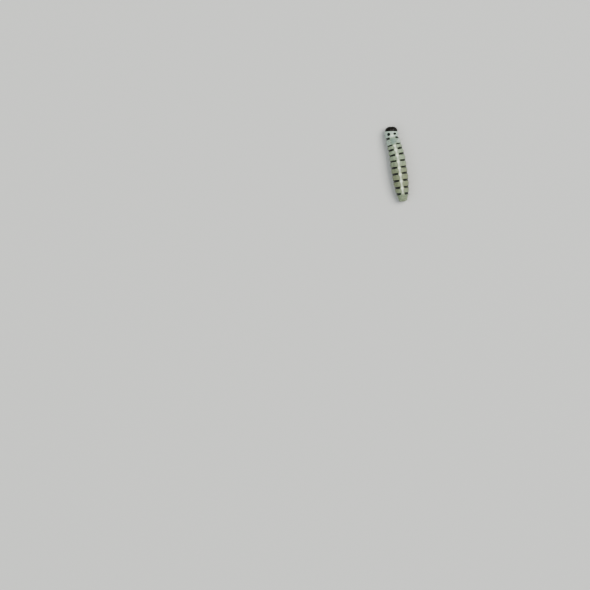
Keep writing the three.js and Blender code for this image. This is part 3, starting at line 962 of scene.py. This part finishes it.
fine_piece("lip", lip(), mouth_look, "mouthparts", "labrum")
for side, sign in SIDES:
    fine_piece(f"jaw_{side}", jaw(sign), head_look, "head_shell", f"mandible_{side}")
    fine_piece(f"feeding_palp_{side}", palp(sign), mouth_look, "mouthparts", f"palp_{side}", 0.003)
    fine_piece(f"feeler_{side}", feeler(sign), mouth_look, "mouthparts", f"antenna_{side}", 0.003)
fine_piece("chin", chin(), mouth_look, "mouthparts", "labium", 0.003)

# Plates and feeler stubs

PLATE_RINGS = 14
PLATE_SIDES = 64
# Half length, half width and rise of a plate
COLLAR_PLATE_SIZE = (COLLAR_PLATE_RADIUS, COLLAR_PLATE_RADIUS, 0.011)
TAIL_PLATE_SIZE = (0.068, 0.15, 0.01)


def plate_mesh(station, angle, size, uneven=1.0):
    """A low domed plate with a steep, uneven rim that follows the skin round a place, closed below it."""
    half_length, half_width, rise = size
    turn = angles_round(PLATE_SIDES)
    waves = 0.05 * np.sin(2 * turn + 0.6) + 0.03 * np.sin(3 * turn) + 0.02 * np.sin(5 * turn)

    def ring(share, lift):
        reach = share * (1 + uneven * waves)
        ring_angle = angle + half_width * reach * np.sin(turn) / girth_at(station)
        return lifted_point(station + half_length * reach * np.cos(turn), ring_angle, lift)

    rings = [ring(share, rise * (1 - 0.45 * share**4)) for share in np.linspace(0.04, 0.97, PLATE_RINGS)]
    rings += [ring(1, rise * 0.3), ring(0.98, -ROOT_DEPTH)]
    top, bottom = lifted_point(station, angle, rise), lifted_point(station, angle, -ROOT_DEPTH)
    return ring_mesh(np.array(rings), top, bottom)


collar_angle = COLLAR_PLATE_ASIDE / girth_at(COLLAR_PLATE_STATION)
for side, sign in SIDES:
    mesh = plate_mesh(COLLAR_PLATE_STATION, collar_angle * sign, COLLAR_PLATE_SIZE)
    finished(new_object(f"collar_shield_{side}", mesh), plate_look, "plate", f"collar_plate_{side}")
mesh = plate_mesh(TAIL_STATION - 0.006, 0, TAIL_PLATE_SIZE, uneven=0.2)
finished(new_object("tail_shield", mesh), tail_look, "tail_plate", "tail_plate")

# Each pair's segment, share of the way along it, degrees from the middle of the back, radius, length,
# finish and how pale it is
STUBS = {
    "front_tentacle": ("mesothorax", 0.45, 34, 0.045, 0.07, "pale_flesh", 0.7),
    "rear_tentacle": ("abdomen_8", 0.5, 32, 0.032, 0.05, "flesh", 0.2),
}
# A stub's outline: shares of its length from its root, and of its radius there
STUB_SHARES = np.array((0, 0.2, 0.34, 0.5, 0.7, 0.85, 0.95, 1.0))
STUB_RADII = np.array((1.15, 1.0, 0.9, 0.84, 0.7, 0.5, 0.28, 0.06))
for name, (segment, share, degrees, radius, length, slot, paleness) in STUBS.items():
    for side, sign in SIDES:
        station = segment_place(segment, share)
        angle = math.radians(degrees) * sign
        base = lifted_point(station, angle, -ROOT_DEPTH)
        out = normalised(outward(station, angle) + (0, -0.12, 0))
        path = base + out * (STUB_SHARES * (length + ROOT_DEPTH))[:, None]
        stub = fused(f"{name}_stub_{side}", tube(path, STUB_RADII * radius, 40), 0.003, 4)
        stub_points = vertices_of(stub)
        raise_surface(stub, noise_at(stub_points * (1, 1, 2), 0.02, 8) * 0.0016)
        height = (stub_points - base) @ out / length
        store(stub, "collar", np.full(len(height), paleness))
        store(stub, "dark", smoothstep(0.7, 1.1, height) * 0.6)
        finished(stub, skin_look, slot, f"{name}_{side}")

# Legs

# Hip, knee, ankle and toe of a left leg, from the ground under the body's middle
LEG_JOINTS = ((0.15, 0.02, 0.21), (0.232, 0.0, 0.13), (0.228, -0.035, 0.055), (0.205, -0.055, 0.016))
CLAW = (-0.012, -0.012, -0.016)


def leg(segment, sign):
    """A jointed leg with a claw."""
    middle = below_body(segment_place(segment, 0.5))
    hip, knee, ankle, toe = (mirrored(middle, joint, sign) for joint in LEG_JOINTS)
    return [
        rod(hip, hip + (knee - hip) * 0.5, 0.078, 0.062),
        rod(hip + (knee - hip) * 0.62, knee, 0.05, 0.044),
        rod(knee + (ankle - knee) * 0.22, ankle, 0.036, 0.029),
        rod(ankle + (toe - ankle) * 0.15, toe, 0.022, 0.013),
        rod(toe, mirrored(toe, CLAW, sign), 0.008, 0.0025),
    ]


for number, segment in enumerate(THORAX, start=1):
    for side, sign in SIDES:
        node = f"leg_{number}_{side}"
        fine_piece(f"jointed_{node}", leg(segment, sign), leg_look, "leg_shell", node, 0.0032, 2)

# Hairs

HAIR_SIDES = 6
HAIR_RADIUS = 0.0032
# A hair's outline: shares of its length from its root, and of its radius
HAIR_OUTLINE = ((-0.03, 2.6), (0.0, 2.3), (0.05, 1.3), (0.1, 1.0), (0.35, 0.85), (0.65, 0.6), (1.0, 0.2))
HAIR_VERTICES = len(HAIR_OUTLINE) * HAIR_SIDES + 2
# Share of the way along the segment, degrees from the middle of the back, and length
BACK_HAIR = (0.68, 18, 0.13)
SIDE_HAIRS = ((0.5, 66, 0.15), (0.42, 98, 0.15))
ABDOMEN_HAIRS = (BACK_HAIR, (0.3, 34, 0.12), *SIDE_HAIRS, (0.66, 110, 0.11), (0.5, 128, 0.09))
LEG_BASE_HAIRS = ((0.6, 84, 0.12), (0.42, 122, 0.1), (0.34, 128, 0.08))
THORAX_HAIRS = (BACK_HAIR, (0.72, 38, 0.12), *SIDE_HAIRS, *LEG_BASE_HAIRS)
MISSING_ON_TAIL = (18, 34, 110)  # degrees of the hairs that the last two segments lack
# Degrees to the left and up on the head
CROWN_HAIRS = ((18, 50), (40, 44), (62, 30), (30, 12), (52, 4), (76, 8))
FACE_HAIRS = ((20, -8), (34, -24), (14, -38), (84, -20))
LEG_HAIRS = ((0.16, 30), (0.11, -20), (0.08, 60))  # height, and degrees backwards
LEG_HAIR_ASIDE = 0.255
COAT_PATCH = 0.003
draws = np.random.default_rng(4)
hairs = []
roots = []


def hair_mesh(root, way, bend, length):
    """One tapered hair that rises from a small cone and bends towards its tip."""
    run, width = np.array(HAIR_OUTLINE).T
    path = root + way * (run * length)[:, None] + bend * (run**2 * length)[:, None]
    return tube(path, width * HAIR_RADIUS, HAIR_SIDES)


def add_hair(root, way, bend, length):
    """Adds a hair whose length and direction stray a little."""
    varied = length * (1 + np.clip(draws.normal(0, 0.08), -0.15, 0.1))
    strayed = normalised(way + draws.normal(0, 0.09, 3))
    hairs.append(hair_mesh(root, strayed, np.array(bend), varied))
    roots.append(root)


def add_body_hairs(name):
    """Hairs of one segment. They lean forwards on the thorax and backwards on the abdomen."""
    on_thorax = name in THORAX
    missing = MISSING_ON_TAIL if name in SEGMENT_NAMES[-2:] else ()
    for share, degrees, length in THORAX_HAIRS if on_thorax else ABDOMEN_HAIRS:
        if degrees in missing:
            continue
        for _, sign in SIDES:
            station = segment_place(name, share) + draws.normal(0, 0.008)
            angle = math.radians(degrees + draws.normal(0, 2.5)) * sign
            way = outward(station, angle) + (0, -0.12 if on_thorax else 0.1, 0)
            add_hair(body_point(station, angle), way, (0, 0.14, -0.2), length)


def add_leg_hairs(segment):
    """Short hairs on the outer side of one pair of legs."""
    middle = below_body(segment_place(segment, 0.5))
    for _, sign in SIDES:
        for height, degrees in LEG_HAIRS:
            turn = math.radians(degrees)
            way = np.array((math.cos(turn) * sign, math.sin(turn), -0.3))
            add_hair(mirrored(middle, (LEG_HAIR_ASIDE, 0, height), sign), way, (0, 0, -0.3), 0.05)


def coat_places(coat):
    """Where each corner of the hairs' faces lies on the coat map.

    The map is the body's surface unrolled flat: angle round the body against station. Each hair is a
    small patch of it at its root.
    """
    station, angle = body_coordinates(np.array(roots))
    root_places = np.stack((angle / (2 * math.pi) + 0.5, np.clip(station / TAIL_END, 0, 1)), axis=1)
    corners = np.empty(len(coat.data.loops), np.int32)
    coat.data.loops.foreach_get("vertex_index", corners)
    hair, vertex = np.divmod(corners, HAIR_VERTICES)
    along_hair = np.minimum(vertex // HAIR_SIDES / len(HAIR_OUTLINE), 1)
    in_patch = np.stack((vertex % HAIR_SIDES / HAIR_SIDES, along_hair), axis=1)
    return root_places[hair] * (1 - COAT_PATCH) + in_patch * COAT_PATCH


for name in SEGMENT_NAMES:
    add_body_hairs(name)
for yaw, pitch in CROWN_HAIRS + FACE_HAIRS:
    for _, sign in SIDES:
        add_hair(*on_head(yaw * sign, pitch), (0, -0.1, -0.2), 0.1)
for name in THORAX:
    add_leg_hairs(name)
coat = new_object("hairs", joined(hairs))
coat_map = coat.data.uv_layers.new(name="OFBake")
coat_map.data.foreach_set("uv", coat_places(coat).astype(np.float32).ravel())
finished(coat, hair_look, "leg_shell")

# Breathing holes

HOLE_SEGMENTS = ["prothorax"] + [f"abdomen_{number}" for number in range(1, 9)]
LARGE_HOLES = ("prothorax", "abdomen_8")
HOLE_SHARE = 0.45
HOLE_ANGLE = math.radians(84)
# Half height and half width
LARGE_HOLE = (0.019, 0.014)
SMALL_HOLE = (0.014, 0.01)
HOLE_RISE = 0.004
HOLE_RINGS = 10
HOLE_SIDES = 28


def breathing_hole(name, sign):
    """The raised oval rim of one breathing hole."""
    station = segment_place(name, HOLE_SHARE)
    angle = HOLE_ANGLE * sign
    place = body_point(station, angle)
    out = outward(station, angle)
    ahead = normalised(np.cross(out, np.cross((0, 1, 0), out)))
    up = np.cross(out, ahead)
    tall, wide = LARGE_HOLE if name in LARGE_HOLES else SMALL_HOLE
    turn = angles_round(HOLE_SIDES)[:, None]
    oval = tall * np.cos(turn) * up + wide * np.sin(turn) * ahead
    rings = []
    for around in angles_round(HOLE_RINGS):
        raised = place + out * HOLE_RISE * math.sin(around)
        rings.append(raised + (1 + 0.34 * math.cos(around)) * oval)
    return np.vstack(rings), band_faces(HOLE_RINGS, HOLE_RINGS, HOLE_SIDES)


holes = [breathing_hole(name, sign) for name in HOLE_SEGMENTS for _, sign in SIDES]
finished(new_object("breathing_holes", joined(holes)), leg_look, "leg_shell")

# Hooks on the soles

HOOKS_PER_FOOT = 16
# A hook's path from its root: distance out and down, and its radius there
HOOK_PATH = ((0, 0, 0.0026), (0.007, 0.004, 0.0024), (0.012, 0.0085, 0.0017), (0.01, 0.0112, 0.0006))


def hook_mesh(sole, turn):
    """A hook near the rim of a sole, which curls down and back."""
    way = np.array((math.cos(turn), math.sin(turn), 0))
    root = sole + way * SOLE_RADIUS * 0.78 + (0, 0, 0.012)
    out, down, radii = np.array(HOOK_PATH).T
    return tube(root + way * out[:, None] - down[:, None] * (0, 0, 1), radii, 6)


hook_turns = [2 * math.pi * hook / HOOKS_PER_FOOT for hook in range(HOOKS_PER_FOOT)]
hooks = [hook_mesh(sole, turn) for _, sole, _ in FEET for turn in hook_turns]
finished(new_object("sole_hooks", joined(hooks)), leg_look, "leg_shell")

# Floor, light and camera

FLOOR_HALF = 0.6  # in metres
corners = np.array([(-1, -1, 0), (1, -1, 0), (1, 1, 0), (-1, 1, 0)]) * FLOOR_HALF
floor = new_object("floor", (corners, [(0, 1, 2, 3)]))
floor_look = Material("floor", roughness=0.8)
floor_look.colour(FLOOR_GREY)
floor.data.materials.append(floor_look.material)

# The photograph's right and up, in the frame of the solids
head_front, _ = on_head(0, 0)
tail_tip = spine(TAIL_END)[0]
chord = head_front - tail_tip
lean_in_part = math.atan2(chord[0], -chord[1])
lean_in_photo = math.atan2(*np.subtract(TAIL_PIXEL, HEAD_PIXEL))
tilt = lean_in_photo - lean_in_part
image_right = np.array((-math.cos(tilt), math.sin(tilt), 0))
image_up = np.array((-math.sin(tilt), -math.cos(tilt), 0))

middle_pixel = np.add(HEAD_PIXEL, TAIL_PIXEL) / 2
offset = (middle_pixel - PHOTO_PIXELS / 2) * MM_PER_PIXEL
larva_middle = (head_front + tail_tip) / 2
distance = PHOTO_PIXELS * MM_PER_PIXEL * LENS_MM / SENSOR_MM
camera_place = larva_middle - image_right * offset[0] + image_up * offset[1]
camera_place[2] = larva_middle[2] + distance

camera_data = bpy.data.cameras.new("camera")
camera_data.lens = LENS_MM
camera_data.sensor_width = SENSOR_MM
camera_data.clip_start = 0.005
camera_data.clip_end = 5
camera = in_scene("camera", camera_data)
camera.location = Vector(camera_place * MM)
camera.rotation_euler = (0, 0, math.pi - tilt)
bpy.context.scene.camera = camera


def add_light(name, direction, distance, size, watts, colour):
    """Soft square light that faces the larva from a direction."""
    data = bpy.data.lights.new(name, "AREA")
    data.size = size
    data.energy = watts
    data.color = colour
    light = in_scene(name, data)
    way = Vector(direction).normalized()
    light.location = way * distance
    light.rotation_euler = way.to_track_quat("Z", "Y").to_euler()


toward_right = image_right * 0.62 + image_up * 0.3
add_light("key", toward_right + (0, 0, 1.2), distance=0.5, size=0.3, watts=3.4, colour=(1.0, 0.98, 0.94))
add_light("fill", -toward_right + (0, 0, 1.2), distance=0.6, size=0.5, watts=1.6, colour=(0.92, 0.97, 1.0))

world = bpy.data.worlds.new("studio")
world.use_nodes = True
background = world.node_tree.nodes["Background"]
background.inputs["Color"].default_value = (0.9, 0.94, 1.0, 1.0)
background.inputs["Strength"].default_value = 0.35
bpy.context.scene.world = world
